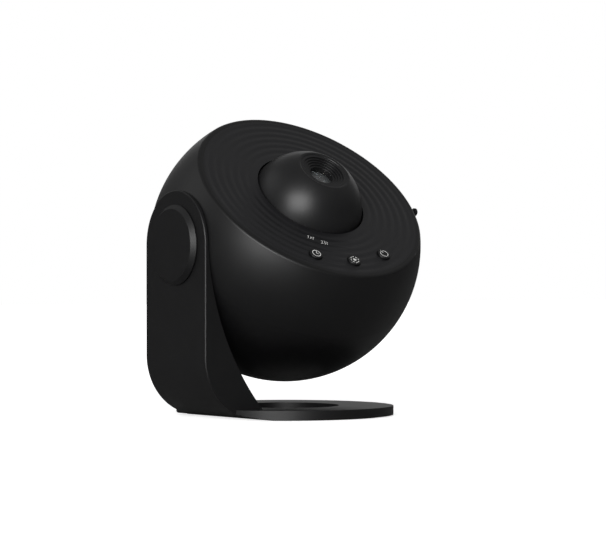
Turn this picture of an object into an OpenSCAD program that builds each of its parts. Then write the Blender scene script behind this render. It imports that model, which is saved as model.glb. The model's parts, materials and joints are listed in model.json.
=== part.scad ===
// Home planetarium projector: a ball-shaped head with a rippled control face and a
// lens dome, held by one arm that bends into a flat ring-shaped base.
// Origin: on the table, straight below the centre of the ball. The arm stands at -X,
// the control face looks up and towards -Y. All lengths are in millimetres.

/* [Ball] */
// Outer radius of the ball
ball_r = 75; // [72:0.5:80]
// Wall of the ball's two shells
shell_wall = 2.5; // [2:0.1:3]
// Distance of the flat control face from the centre of the ball
face_h = 36.5; // [35.5:0.1:38]
// Rounding between the control face and the ball
rim_round = 2; // [1:0.1:2.4]
// Tilt of the optical axis away from straight up, towards the front
tilt = 42.2; // [20:0.1:80]
// Tilt from straight up at the front stop
front_tilt = 90; // [85:1:95]
// Tilt beyond straight up, towards the back, at the rear stop
rear_tilt = 45; // [30:1:50]

/* [Stand] */
// Height of the ball's underside above the table
ball_rise = 18.6; // [15:0.1:35]
// Radius of the base disc
base_r = 60; // [55:0.5:66]
// Radius of the hole through the base disc
base_hole_r = 30; // [20:0.5:33]
// Thickness of the base disc
base_t = 5; // [4:0.1:7]
// How far the arm's outer face stays inside the radius of the ball
arm_inset = 3; // [2.5:0.1:4.5]
// Half of the arm's width, and the radius of its rounded top
arm_half = 29.4; // [27:0.1:32]
// Thickness of the arm at the tilt axis
arm_t = 1.7; // [1.5:0.1:2]
// Distance from the middle of the base to the start of the bend up to the arm
bend_in = 38.7; // [38.5:0.1:47]
// Radius of the long hollow curve on the arm's inner side
hollow_r = 147.9; // [140:0.1:156]
// Height of the middle of that hollow curve above the tilt axis
hollow_rise = 7.4; // [4.4:0.1:10.4]
// Edge break along the arm's outer face
arm_edge = 0.4; // [0.3:0.1:1]
// Clearance between the ball and the arm
ball_gap = 0.8; // [0.6:0.1:1]
// How far the foot pad stands out below the base
foot_out = 0.5; // [0.3:0.1:1]
// Depth of the foot pad's recess in the base
foot_in = 0.6; // [0.4:0.1:1]
// Outer radius of the foot pad
foot_r = 56; // [50:0.5:57]
// Inner radius of the foot pad
foot_hole_r = 35; // [34:0.5:37]
// Width of the base left beyond the straight side of the foot pad
foot_margin = 1.5; // [1:0.1:2.5]

/* [Tilt pivot] */
// Radius of the hole through the arm
hub_r = 9; // [8:0.1:10]
// Running clearance of the hub in that hole
hub_fit = 0.05; // [0.02:0.01:0.1]
// Radius of the wire hole through the hub
hub_bore_r = 5.5; // [4.5:0.1:5.8]
// Gap between the flat side of the ball and the arm
pivot_gap = 0.6; // [0.5:0.1:0.8]
// Radius of the side plate that carries the hub
side_r = 25.5; // [24:0.1:26]
// Thickness of the side plate
side_t = 2.5; // [2.2:0.1:3]
// Outer radius of the friction washer
washer_r = 14.5; // [12:0.1:15]
// Height of the spring washer under the retaining plate
spring_h = 0.5; // [0.4:0.05:0.6]
// Radius of the retaining plate
keep_r = 14.5; // [13:0.1:15]
// Thickness of the retaining plate
keep_t = 1; // [0.8:0.1:1.2]
// Radius of the circle that the stop pin follows
stop_r = 17; // [16.8:0.1:17.5]
// Radius of the stop pin
stop_pin_r = 1.4; // [1.2:0.1:1.5]
// Clearance of the stop pin in its slot
stop_fit = 0.25; // [0.2:0.05:0.3]
// Radius of the round cap at its foot
cap_r = 21.7; // [21:0.1:23]
// Radius of the cap's flat top
cap_top_r = 19.4; // [17:0.1:20.5]
// How far the cap stands out from the arm
cap_h = 3; // [2.8:0.1:4]
// Gap between cap and arm
cap_gap = 0.25; // [0.2:0.05:0.3]
// Wall of the cap's top
cap_wall = 1.3; // [1:0.1:1.4]

/* [Control face] */
// Width of the rim between the face plate and the edge of the ball
face_lip = 2.7; // [2.5:0.1:3.2]
// Thickness of the face plate
plate_t = 2.2; // [2:0.1:2.4]
// Distance from one ripple to the next
ripple_pitch = 4.66; // [4.2:0.02:4.7]
// Radius of the first ripple's crest
ripple_start = 33.97; // [33:0.01:35]
// Depth of a ripple from crest to trough
ripple_depth = 0.2; // [0.1:0.05:0.5]
// Radius of the well round the lens dome
well_r = 31.3; // [31.1:0.1:31.6]
// Wall of that well
well_wall = 1.6; // [1.4:0.1:1.8]
// Depth of the well below the control face
well_depth = 15.5; // [15:0.1:16]

/* [Buttons] */
// Distance of the buttons from the edge of the face plate
button_edge = 9.6; // [8:0.1:12]
// Angle between neighbouring buttons
button_step = 25; // [20:0.5:32]
// Radius of a button
button_r = 3.7; // [3:0.1:4.2]
// How far a button stands out of the face
button_out = 1.2; // [1:0.1:2]
// Travel of a button
button_travel = 0.6; // [0.4:0.1:0.7]
// Clearance round a button
button_fit = 0.25; // [0.15:0.05:0.4]
// Rounding of a button's edge
button_round = 0.5; // [0.2:0.1:0.8]

/* [Lens dome] */
// Radius of the dome's round surface
dome_r = 31.7; // [31.5:0.1:32.5]
// Depth of the dome's centre below the control face
dome_drop = 9.5; // [9:0.1:10.5]
// Radius of the dome's straight skirt
skirt_r = 30.7; // [30.5:0.1:30.8]
// Wall of the dome
dome_wall = 2; // [1.6:0.1:2.2]
// Radius of the stepped funnel at its mouth
funnel_r = 13.1; // [12.8:0.1:14]
// Rounding of the funnel's lip
lip_round = 1.5; // [0.8:0.1:2]
// Radius of the hole in front of the lens
eye_r = 6.6; // [6:0.1:6.8]
// Height of that hole above the control face
eye_h = 15; // [14.6:0.1:15.6]
// Number of steps in the funnel
funnel_n = 5; // [3:1:7]

/* [Focus] */
// Clearance between the focus ring and the well
focus_fit = 0.2; // [0.1:0.05:0.3]
// Wall of the focus ring
focus_wall = 2.5; // [2:0.1:2.8]
// Turn of the focus lever to each side
focus_turn = 20; // [12:1:20]
// Travel of the lens carriage to each side
focus_travel = 1.5; // [0.8:0.1:1.5]
// Direction of the focus lever at rest
lever_angle = -6.4; // [-8:0.1:-5]
// Width of the focus lever
lever_w = 2.6; // [2.2:0.1:2.8]
// Thickness of the focus lever
lever_t = 1.6; // [1.4:0.1:1.7]
// Radius of the knob on the lever's end
knob_r = 2.2; // [2:0.1:2.6]
// How far the knob stands out of the ball
knob_out = 3.2; // [2.8:0.1:4.5]
// Radius of the pins that guide the lens carriage
guide_r = 1; // [0.9:0.05:1.1]
// Clearance of those pins in their slots
guide_fit = 0.2; // [0.1:0.05:0.25]

/* [Optics] */
// Radius of the star disc
star_r = 27.6; // [26:0.1:27.8]
// Thickness of the star disc
star_t = 0.8; // [0.5:0.1:1.2]
// Height of the star disc above the centre of the ball
star_z = 14; // [13.6:0.1:14.2]
// Outer radius of the lens barrel
barrel_r = 11.5; // [11:0.1:12]
// Radius of the projection lenses
lens_r = 9.3; // [9:0.1:9.6]
// Radius of the large condenser lens
cond_r = 18; // [16:0.1:18.4]

/* [Disc drive] */
// Size of the gear teeth: pitch diameter over number of teeth
tooth = 1; // [1:0.01:1.02]
// Teeth of the disc's ring gear
ring_teeth = 64; // [62:1:65]
// Teeth of the motor's pinion
pinion_teeth = 14; // [13:1:16]
// Clearance added to the distance between the two gears
gear_fit = 0.12; // [0.08:0.02:0.2]
// Height of the gears
gear_h = 3.4; // [2.6:0.1:3.6]
// Radius of the motor
motor_r = 10.5; // [9:0.1:12]
// Length of the motor's can
motor_len = 19.5; // [15:0.5:24]

/* [Inner frame] */
// Distance of the chassis plate's edge from the outside of the ball
chassis_edge = 11; // [9:0.5:13]
// Thickness of the chassis plate
chassis_t = 2.5; // [2:0.1:3]
// Distance of the shell screws from the outside of the ball
screw_edge = 17; // [16.5:0.5:19]
// Distance of the face plate's posts from its edge
post_edge = 12.8; // [11:0.1:14]
// Radius of a face plate post
post_r = 3.4; // [3:0.1:3.6]
// Length of the main circuit board
board_l = 64; // [60:1:70]
// Width of the main circuit board
board_w = 46; // [44:1:50]
// Thickness of the circuit boards
board_t = 1.6; // [1.2:0.1:2]

/* [Power socket] */
// Radius of the socket's collar
socket_r = 5.9; // [5.5:0.1:6.5]
// Radius of the hole that the plug enters
socket_bore_r = 2.8; // [2.5:0.1:3.2]
// Radius of the centre contact
socket_pin_r = 0.95; // [0.7:0.05:1.2]

/* [Hidden] */
$fn = 96;
far = 200;
skin = 0.1;

// Derived places of the stand
pivot_z = ball_r + ball_rise;
arm_x = ball_r - arm_inset;
hollow_z = pivot_z + hollow_rise;
flat_x = arm_x - arm_t - pivot_gap;
base_top = foot_out + base_t;
bend_r = arm_x - bend_in;
bend_x = -bend_in;
bend_z = foot_out + bend_r;
hollow_x = hollow_r + arm_t - arm_x;

// Derived places of the tilt stop; the pin's angle is measured round the tilt axis
// from the optical axis, the slot's from straight up, both towards the back
tilt_span = front_tilt + rear_tilt;
stop_angle = 180 + (front_tilt - rear_tilt) / 2;
stop_slot_r = stop_pin_r + stop_fit;
keep_z = arm_x + spring_h;
hub_screw_ring = (hub_bore_r + hub_r - hub_fit) / 2;
side_screw_ring = 17;

// Derived places of the face and its well
plate_r = sqrt(ball_r * ball_r - face_h * face_h) - face_lip;
plate_fit = 0.03;
plate_z = face_h - plate_t;
ripple_n = floor((plate_r - 0.8 - ripple_start) / ripple_pitch);
button_ring_r = plate_r - button_edge;
post_ring_r = plate_r - post_edge;
shell_screw_r = ball_r - screw_edge;
chassis_r = ball_r - chassis_edge;
well_z = face_h - well_depth;
ledge_r = plate_r - 2.4;
rim_cz = face_h - rim_round;
rim_cr = sqrt(pow(ball_r - rim_round, 2) - rim_cz * rim_cz);
rim_k = (ball_r + 4) / (ball_r - rim_round);
post_angles = [40, 140, 220, 320];
shell_screw_angles = [60, 120, 210, 330];
guide_angles = [90, 210, 330];

// Derived places of the dome
dome_z = face_h - dome_drop;
eye_z = face_h + eye_h;
funnel_z = dome_z + sqrt(dome_r * dome_r - funnel_r * funnel_r);
funnel_rise = (funnel_z - eye_z) / funnel_n;
funnel_step = (funnel_r - eye_r) / funnel_n;
lip_cr = funnel_r + lip_round;
lip_rise = sqrt(pow(dome_r - lip_round, 2) - lip_cr * lip_cr);
lip_k = (dome_r + 4) / (dome_r - lip_round);
boss_r = barrel_r + 2;
carriage_top = well_z + 6.5;
carriage_h = 5;
seat_z = carriage_top + skin;
barrel_top = eye_z - 1.7;
barrel_bottom = carriage_top - 3.5;

// Derived places of the focus gear
ring_in = well_r + well_wall + focus_fit;
ring_out = ring_in + focus_wall;
ring_top = plate_z - 0.5;
guide_z = carriage_top - 2;
lever_z = ring_top - 0.4 - lever_t / 2;
ramp = atan(focus_travel / (focus_turn * PI / 180 * ring_out));
slot_h = lever_t + 0.8;
slot_turn = focus_turn + asin((lever_w / 2 + 0.8) / (ledge_r - 3));
knob_foot_r = sqrt(ball_r * ball_r - pow(lever_z - knob_r, 2)) + 0.35;
knob_end_r = sqrt(pow(ball_r + knob_out, 2) - lever_z * lever_z);

// Derived places of the light engine and the disc drive
holder_r = star_r - 3.68;
table_bore_r = holder_r + 0.08;
table_z = star_z - gear_h - 0.1;
table_r = star_r + 0.15;
ring_pitch_r = tooth * ring_teeth / 2;
pinion_pitch_r = tooth * pinion_teeth / 2;
motor_ring_r = ring_pitch_r + pinion_pitch_r + gear_fit;
motor_angle = 90;
motor_screw_y = 6.5;
neck_r = 9.9;
lens_large_z = star_z - 6.8;
lens_small_z = star_z - 10.1;
small_r = 11.8;

// Radii of the holes that screws are driven into and pass through
tap_r = 1.45;
pass_r = 1.7;

// Derived places of the boards
board_x = board_l / 2 - 5;
board_y = board_w / 2 - 5;
board_z = -chassis_t - 24;
key_board_z = plate_z - 8.5;
key_top = plate_z - skin;
key_end = key_board_z + board_t + 2.4 + button_travel + skin;
socket_z = ball_r - 1.8;

// Moves its children into the tilted head, with +Z along the optical axis
module in_head() {
    translate([0, 0, pivot_z]) rotate([tilt, 0, 0]) children();
}

// Turns its children so that +Z runs outward along the tilt axis and +X points up
module on_pivot() {
    translate([0, 0, pivot_z]) rotate([0, -90, 0]) children();
}

// The same inside the head, so that what it places turns with the ball
module on_hub() {
    rotate([0, -90, 0]) children();
}

// Places its children on a circle round the Z axis
module at(ring, angle) {
    rotate([0, 0, angle]) translate([ring, 0, 0]) children();
}

// Tube or plain washer standing on z
module tube(r_out, r_in, z, h) {
    translate([0, 0, z]) difference() {
        cylinder(r = r_out, h = h);
        translate([0, 0, -1]) cylinder(r = r_in, h = h + 2);
    }
}

// Part of a flat ring between two radii, centred on the +X direction
module sector(r_in, r_out, half_angle, h) {
    rotate([0, 0, -half_angle]) rotate_extrude(angle = 2 * half_angle)
        translate([r_in, 0]) square([r_out - r_in, h]);
}

// Lens with a straight rim and a domed top; the dome rises by rise
module lens(r, rim, rise) {
    sphere_r = (r * r + rise * rise) / (2 * rise);
    cylinder(r = r, h = rim);
    translate([0, 0, rim]) intersection() {
        translate([0, 0, rise - sphere_r]) sphere(r = sphere_r);
        cylinder(r = r, h = rise + 1);
    }
}

// Pan-head screw that points up: the head lies below z = 0, the shank above
module screw_up(shank_r, head_r, head_h, len) {
    translate([0, 0, -head_h]) difference() {
        cylinder(r = head_r, h = head_h);
        translate([-head_r * 0.7, -0.3, -0.5]) cube([head_r * 1.4, 0.6, 0.9]);
        translate([-0.3, -head_r * 0.7, -0.5]) cube([0.6, head_r * 1.4, 0.9]);
    }
    translate([0, 0, -0.1]) cylinder(r = shank_r, h = len + 0.1);
}

// Outline of one gear, with straight-sided teeth that thin towards the tip
module gear_outline(teeth, add, ded, share) {
    pitch_r = tooth * teeth / 2;
    step = 360 / teeth;
    base_cut = pitch_r * cos(20);
    function spread(r) = r <= base_cut ? 0 : tan(acos(base_cut / r)) * 180 / PI - acos(base_cut / r);
    half = step * share / 2 + spread(pitch_r);
    rows = [pitch_r - ded, base_cut > pitch_r - ded ? base_cut : pitch_r - ded * 0.45,
        pitch_r + add * 0.3, pitch_r + add];
    polygon([for (i = [0 : teeth - 1]) for (k = [0 : 7])
        let (j = k < 4 ? k : 7 - k, side = k < 4 ? -1 : 1,
            a = i * step + side * (half - spread(rows[j])))
        [rows[j] * cos(a), rows[j] * sin(a)]]);
}

// Side view of the arm's hollow inner side, as the waste to be cut away
module arm_waste() {
    rotate([90, 0, 0]) translate([0, 0, -far / 2]) linear_extrude(height = far)
        intersection() {
            translate([hollow_x, hollow_z]) circle(r = hollow_r, $fn = 240);
            translate([-arm_x - 5, base_top]) square([arm_x + base_r + 10, far]);
        }
}

// Section of the arm: a strip with both outer edges broken
module arm_section() {
    polygon([[0, -arm_half], [arm_x - arm_edge, -arm_half], [arm_x, arm_edge - arm_half],
        [arm_x, arm_half - arm_edge], [arm_x - arm_edge, arm_half], [0, arm_half]]);
}

// Arm before its inner side is cut: round top, straight run and bend
module arm_blank() {
    on_pivot() cylinder(r = arm_half, h = arm_x - arm_edge);
    on_pivot() translate([0, 0, arm_x - arm_edge])
        cylinder(r1 = arm_half, r2 = arm_half - arm_edge, h = arm_edge);
    translate([0, 0, bend_z]) rotate([0, 0, 180])
        linear_extrude(height = pivot_z - bend_z) arm_section();
    translate([bend_x, 0, bend_z]) rotate([90, 0, 0]) rotate([0, 0, 180])
        rotate_extrude(angle = 90) translate([-arm_x + bend_r, 0]) intersection() {
            arm_section();
            translate([arm_x - bend_r, -arm_half]) square([bend_r, 2 * arm_half]);
        }
    translate([bend_x - 1, -arm_half, foot_out]) cube([bend_r, 2 * arm_half, bend_r]);
}

// Stand: arm, bend and ring-shaped base in one casting
module stand() {
    color("#1c1c1d") difference() {
        union() {
            base_disc();
            difference() {
                arm_blank();
                arm_waste();
            }
        }
        translate([0, 0, -1]) cylinder(r = base_hole_r, h = base_top + 30);
        stand_recesses();
    }
}

// Base disc with its edge trimmed by the bend
module base_disc() {
    difference() {
        translate([0, 0, foot_out]) cylinder(r = base_r, h = base_t);
        rotate([90, 0, 0]) translate([0, 0, -base_r - 5]) linear_extrude(height = 2 * base_r + 10)
            difference() {
                translate([-far, -5]) square([far + bend_x, bend_z + 5]);
                translate([bend_x, bend_z]) circle(r = bend_r);
            }
    }
}

// Seat of the ball, pivot hole, stop slot and foot pad recess
module stand_recesses() {
    on_pivot() rotate([0, 0, 90]) rotate_extrude($fn = 160) intersection() {
        circle(r = ball_r + ball_gap);
        square([ball_r + 5, flat_x + pivot_gap]);
    }
    on_pivot() translate([0, 0, flat_x]) cylinder(r = hub_r, h = far);
    on_pivot() rotate([0, 0, 180]) translate([0, 0, flat_x]) {
        sector(stop_r - stop_slot_r, stop_r + stop_slot_r, tilt_span / 2, 20);
        for (side = [-1, 1])
            at(stop_r, side * tilt_span / 2) cylinder(r = stop_slot_r, h = 20);
    }
    difference() {
        translate([0, 0, -1]) cylinder(r = foot_r + 0.1, h = foot_out + foot_in + 1);
        translate([0, 0, -2]) cylinder(r = foot_hole_r - 0.1, h = 10);
        translate([bend_x + foot_margin - 0.1 - far, -far / 2, -2]) cube([far, far, 10]);
    }
}

// Rubber pad under the base, cut straight beside the bend
module foot_pad() {
    color("#111111") difference() {
        cylinder(r = foot_r, h = foot_out + foot_in);
        translate([0, 0, -1]) cylinder(r = foot_hole_r, h = 10);
        translate([bend_x + foot_margin - far, -far / 2, -2]) cube([far, far, 10]);
    }
}

// Friction washer between the arm and the flat side of the ball
module friction_washer() {
    color("#b9b4a4") on_pivot() tube(washer_r, hub_r + 0.3, flat_x + 0.05, pivot_gap - 0.05);
}

// Dished spring washer between the arm and the retaining plate
module spring_washer() {
    color("#9a9ea3") on_pivot() rotate_extrude()
        polygon([[hub_r + 0.3, arm_x + spring_h - 0.3], [hub_r + 0.3, arm_x + spring_h - 0.05],
            [washer_r - 0.7, arm_x + 0.25], [washer_r - 0.7, arm_x]]);
}

// Plate with the hub and the stop pin, set into the flat side of the ball
module side_plate() {
    color("#202021") in_head() on_hub() difference() {
        union() {
            translate([0, 0, flat_x - side_t]) cylinder(r = side_r, h = side_t);
            translate([0, 0, flat_x - 1]) cylinder(r = hub_r - hub_fit, h = keep_z - flat_x + 1);
            at(stop_r, stop_angle) translate([0, 0, flat_x - 1])
                cylinder(r = stop_pin_r, h = arm_t + pivot_gap + 1.3);
        }
        cylinder(r = hub_bore_r, h = far);
        for (a = [0, 120, 240]) {
            at(hub_screw_ring, a) translate([0, 0, keep_z - 4.5]) cylinder(r = 1, h = 10);
            at(side_screw_ring, a + 60) translate([0, 0, flat_x - side_t - 1])
                cylinder(r = tap_r, h = side_t + 0.2);
        }
    }
}

// Plate on the hub's end that holds the head on the arm
module keeper_plate() {
    color("#9a9ea3") in_head() on_hub() difference() {
        translate([0, 0, keep_z]) cylinder(r = keep_r, h = keep_t);
        translate([0, 0, keep_z - 1]) cylinder(r = hub_bore_r, h = 10);
        for (a = [0, 120, 240]) at(hub_screw_ring, a) translate([0, 0, keep_z]) {
            translate([0, 0, -1]) cylinder(r = 1, h = 10);
            cylinder(r1 = 1, r2 = 2, h = keep_t);
        }
    }
}

// Three countersunk screws of the retaining plate
module hub_screws() {
    color("#c3c5c8") in_head() on_hub() for (a = [0, 120, 240])
        at(hub_screw_ring, a) translate([0, 0, keep_z - 4.4]) {
            cylinder(r = 0.95, h = 4.6);
            translate([0, 0, 4.4]) cylinder(r1 = 0.95, r2 = 1.9, h = keep_t);
        }
}

// Round cap over the pivot, bevelled all round, with a hollow snap stud
module pivot_cap() {
    color("#1e1e1f") in_head() on_hub() {
        cap_z = arm_x + cap_gap;
        top_z = arm_x + cap_h;
        difference() {
            translate([0, 0, cap_z]) union() {
                cylinder(r = cap_r, h = 0.5);
                translate([0, 0, 0.5])
                    cylinder(r1 = cap_r, r2 = cap_top_r, h = top_z - cap_z - 0.5);
            }
            translate([0, 0, cap_z - 1])
                cylinder(r = cap_top_r - 0.6, h = top_z - cap_z - cap_wall + 1);
        }
        tube(hub_bore_r - 0.1, hub_bore_r - 1.1, flat_x - 1, top_z - cap_wall - flat_x + 1.2);
    }
}

// Hollow ball with its flat side and the opening for the side plate
module ball_shell() {
    difference() {
        intersection() {
            sphere(r = ball_r, $fn = 160);
            translate([-flat_x, -far / 2, -far / 2]) cube([far, far, far]);
        }
        sphere(r = ball_r - shell_wall, $fn = 160);
        on_hub() translate([0, 0, flat_x - 12]) cylinder(r = side_r + 0.15, h = 20);
    }
}

// Rear shell with four screw towers and the boss of the power socket
module shell_rear() {
    color("#232324") in_head() difference() {
        union() {
            intersection() {
                ball_shell();
                translate([-far / 2, -far / 2, -far]) cube([far, far, far]);
            }
            intersection() {
                sphere(r = ball_r - 1, $fn = 160);
                for (a = shell_screw_angles) at(shell_screw_r, a)
                    translate([0, 0, -ball_r]) cylinder(r = 4.6, h = ball_r - chassis_t);
            }
            on_socket() intersection() {
                translate([0, 0, socket_z - 3.6]) cylinder(r = 10, h = 5);
                sphere(r = ball_r - 1, $fn = 160);
            }
        }
        for (a = shell_screw_angles) at(shell_screw_r, a) {
            translate([0, 0, -ball_r]) cylinder(r = 3.2, h = ball_r - chassis_t - 6);
            translate([0, 0, -20]) cylinder(r = pass_r, h = 20);
        }
        on_socket() {
            translate([0, 0, socket_z]) cylinder(r = socket_r + 2, h = 10);
            translate([0, 0, socket_z - 20]) cylinder(r = socket_r + 0.1, h = 40);
        }
    }
}

// Front shell with its rounded rim, the ledge of the face plate and the lever's slot
module shell_front() {
    color("#232324") in_head() difference() {
        union() {
            intersection() {
                ball_shell();
                cylinder(r = ball_r + 1, h = face_h);
            }
            intersection() {
                sphere(r = ball_r - 1, $fn = 160);
                rotate_extrude() polygon([[ledge_r, plate_z], [ledge_r, plate_z - 2],
                    [ledge_r + 4, plate_z - 6], [ball_r, plate_z - 6], [ball_r, face_h],
                    [plate_r + plate_fit, face_h], [plate_r + plate_fit, plate_z]]);
            }
            for (a = shell_screw_angles) at(shell_screw_r, a) {
                cylinder(r = 4.2, h = 12);
                intersection() {
                    translate([0, -1, 0]) cube([20, 2, 12]);
                    rotate([0, 0, -a]) at(-shell_screw_r, a) sphere(r = ball_r - 1);
                }
            }
        }
        rim_waste();
        translate([0, 0, plate_z]) cylinder(r = plate_r + plate_fit, h = 10);
        for (a = shell_screw_angles) at(shell_screw_r, a)
            translate([0, 0, -1]) cylinder(r = tap_r, h = 11);
        rotate([0, 0, lever_angle]) translate([0, 0, lever_z - slot_h / 2])
            sector(ledge_r - 3, ball_r + 2, slot_turn, slot_h);
    }
}

// What the rounded rim loses
module rim_waste() {
    rotate_extrude() difference() {
        polygon([[rim_cr, rim_cz], [rim_cr, face_h + 5], [rim_cr + 8, face_h + 5],
            [rim_cr * rim_k, rim_cz * rim_k]]);
        translate([rim_cr, rim_cz]) circle(r = rim_round);
    }
}

// Turns its children so that +Z leaves the ball where the power socket sits
module on_socket() {
    rotate([-135, 0, 0]) children();
}

// Height of the rippled surface at a radius
function ripple(r) =
    let (turn = (r - ripple_start) / ripple_pitch)
    turn < 0 || turn > ripple_n ? face_h : face_h - ripple_depth * (1 - cos(360 * turn)) / 2;

// Face plate with its ripples, the dome's well and the posts it stands on
module face_plate() {
    color("#29292a") in_head() {
        difference() {
            rippled_plate();
            for (k = [-1, 0, 1]) at(button_ring_r, -90 + k * button_step)
                translate([0, 0, plate_z - 1]) cylinder(r = button_r + button_fit, h = 10);
            for (a = guide_angles) rotate([0, 0, a])
                translate([well_r - 2, -guide_r - guide_fit, well_z - 1])
                cube([well_wall + 4, 2 * (guide_r + guide_fit),
                    guide_z + focus_travel + guide_r + 0.4 - well_z + 1]);
        }
        for (a = post_angles) at(post_ring_r, a) tube_post(post_r, tap_r, 0, 10);
        for (side = [-0.5, 0.5]) at(button_ring_r, -90 + side * button_step)
            tube_post(2.4, 1, key_board_z + board_t, 5);
    }
}

// Revolved body of the face plate: rippled disc and well wall
module rippled_plate() {
    rotate_extrude() polygon(concat(
        [[well_r, well_z], [well_r, face_h]],
        [for (i = [0 : ripple_n * 8])
            let (r = ripple_start + i * ripple_pitch / 8) [r, ripple(r)]],
        [[plate_r, face_h], [plate_r, plate_z], [well_r + well_wall, plate_z],
            [well_r + well_wall, well_z]]));
}

// Post from z up into the face plate, with a blind screw hole in its foot
module tube_post(r, hole_r, z, hole_h) {
    difference() {
        translate([0, 0, z]) cylinder(r = r, h = plate_z + 0.4 - z);
        translate([0, 0, z - 1]) cylinder(r = hole_r, h = hole_h + 1);
    }
}

// Ring welded under the well that carries the focus ring
module focus_retainer() {
    color("#202021") in_head() tube(ring_out + 0.4, well_r + 0.1, well_z - 1.4, 1.4);
}

// Frame inside the ball: plate, flange for the side plate and four board posts
module chassis() {
    flange_x = flat_x - side_t;
    color("#2c2c2e") in_head() difference() {
        union() {
            translate([0, 0, -chassis_t]) cylinder(r = chassis_r, h = chassis_t);
            on_hub() translate([0, 0, flange_x - 3]) cylinder(r = 20.5, h = 3);
            intersection() {
                for (y = [-9, 9]) translate([-flange_x + 1, y - 1, -10]) cube([26, 2, 20]);
                rotate([90, 0, 0]) translate([-flange_x - 0.5, 0, -20]) rotate([0, 0, 45])
                    translate([-19, -19, 0]) cube([38, 38, 40]);
            }
            for (x = [-1, 1]) for (y = [-1, 1])
                translate([x * board_x, y * board_y, board_z + board_t])
                cylinder(r = 2.8, h = -board_z - board_t - 0.5);
        }
        translate([0, 0, -far / 2]) cylinder(r = neck_r + 0.3, h = far);
        at(motor_ring_r, motor_angle) translate([0, 0, -10]) cylinder(r = 3.4, h = 20);
        for (a = [-1, 1]) at(motor_ring_r, motor_angle) translate([0, a * motor_screw_y, -10])
            cylinder(r = 1.1, h = 20);
        for (a = shell_screw_angles) at(shell_screw_r, a)
            translate([0, 0, -10]) cylinder(r = pass_r, h = 20);
        for (a = post_angles) at(post_ring_r, a) translate([0, 0, -10]) cylinder(r = pass_r, h = 20);
        on_hub() {
            translate([0, 0, flange_x - 10]) cylinder(r = 7, h = 20);
            for (a = [0, 120, 240]) at(side_screw_ring, a + 60)
                translate([0, 0, flange_x - 10]) cylinder(r = pass_r, h = 20);
        }
        for (x = [-1, 1]) for (y = [-1, 1])
            translate([x * board_x, y * board_y, board_z - 1])
            cylinder(r = 1, h = 10);
    }
}

// Three screws that fasten the side plate to the chassis
module side_screws() {
    color("#c3c5c8") in_head() on_hub() for (a = [0, 120, 240]) at(side_screw_ring, a + 60)
        translate([0, 0, flat_x - side_t - 3]) screw_up(tap_r - 0.05, 2.7, 1.8, 4.1);
}

// Four long screws that close the ball from behind
module shell_screws() {
    color("#c3c5c8") in_head() for (a = shell_screw_angles) at(shell_screw_r, a)
        translate([0, 0, -chassis_t - 6]) screw_up(tap_r - 0.05, 2.8, 2, chassis_t + 14);
}

// Four screws that hold the face plate's posts on the chassis
module post_screws() {
    color("#c3c5c8") in_head() for (a = post_angles) at(post_ring_r, a)
        translate([0, 0, -chassis_t]) screw_up(tap_r - 0.05, 2.7, 1.8, chassis_t + 8);
}

// Finned heat sink under the lamp
module heat_sink() {
    color("#a9adb2") in_head() {
        translate([0, 0, -chassis_t - 3]) cylinder(r = 16, h = 3);
        translate([0, 0, -chassis_t - 1]) cylinder(r = neck_r, h = chassis_t + 1);
        intersection() {
            translate([0, 0, -chassis_t - 16]) cylinder(r = 16, h = 15);
            for (k = [-3 : 3])
                translate([k * 4.4 - 0.7, -20, -chassis_t - 16]) cube([1.4, 40, 14]);
        }
    }
}

// Round circuit board of the lamp
module led_board() {
    color("#e6e6e0") in_head() cylinder(r = neck_r - 0.5, h = 1.4);
}

// Light-emitting lamp with its small dome
module led_lamp() {
    color("#f4e7a0") in_head() {
        translate([-2.4, -2.4, 1.4]) cube([4.8, 4.8, 0.5]);
        translate([0, 0, 1.9]) intersection() {
            sphere(r = 1.8);
            cylinder(r = 3, h = 3);
        }
    }
}

// Holder of the two condenser lenses; the turntable runs round its outside
module condenser_holder() {
    color("#1b1b1c") in_head() rotate_extrude()
        polygon([[neck_r + 0.9, 0], [holder_r + 3, 0], [holder_r + 3, table_z - 0.1],
            [holder_r, table_z - 0.1], [holder_r, star_z - 0.5], [cond_r + 0.1, star_z - 0.5],
            [cond_r + 0.1, lens_large_z], [small_r + 0.1, lens_large_z],
            [small_r + 0.1, lens_small_z], [neck_r + 0.9, lens_small_z]]);
}

// Small condenser lens next to the lamp
module condenser_lens_small() {
    color("#dfe9ef") in_head() translate([0, 0, lens_small_z]) lens(small_r, 1, 1.8);
}

// Large condenser lens under the star disc
module condenser_lens_large() {
    color("#dfe9ef") in_head() translate([0, 0, lens_large_z]) lens(cond_r, 1.3, 3.6);
}

// Gear motor that turns the star disc
module motor() {
    color("#8d9196") in_head() at(motor_ring_r, motor_angle) difference() {
        union() {
            translate([0, 0, -chassis_t - motor_len]) cylinder(r = motor_r, h = motor_len);
            translate([0, 0, -chassis_t - 1]) cylinder(r = 3.2, h = chassis_t + 1.5);
            translate([0, 0, -chassis_t - motor_len - 1.5]) cylinder(r = 3, h = 2);
        }
        translate([0, 0, -chassis_t - 12]) cylinder(r = 1.3, h = 20);
        for (a = [-1, 1]) translate([0, a * motor_screw_y, -chassis_t - 4]) cylinder(r = 1, h = 5);
    }
}

// Two screws of the motor
module motor_screws() {
    color("#c3c5c8") in_head() for (a = [-1, 1]) at(motor_ring_r, motor_angle)
        translate([0, a * motor_screw_y, 0]) mirror([0, 0, 1]) screw_up(0.95, 1.9, 1.2, chassis_t + 3);
}

// Main circuit board below the chassis
module main_board() {
    color("#1d4a35") in_head() difference() {
        translate([-board_l / 2, -board_w / 2, board_z]) cube([board_l, board_w, board_t]);
        for (x = [-1, 1]) for (y = [-1, 1])
            translate([x * board_x, y * board_y, board_z - 1])
            cylinder(r = 1.2, h = 10);
    }
}

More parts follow.
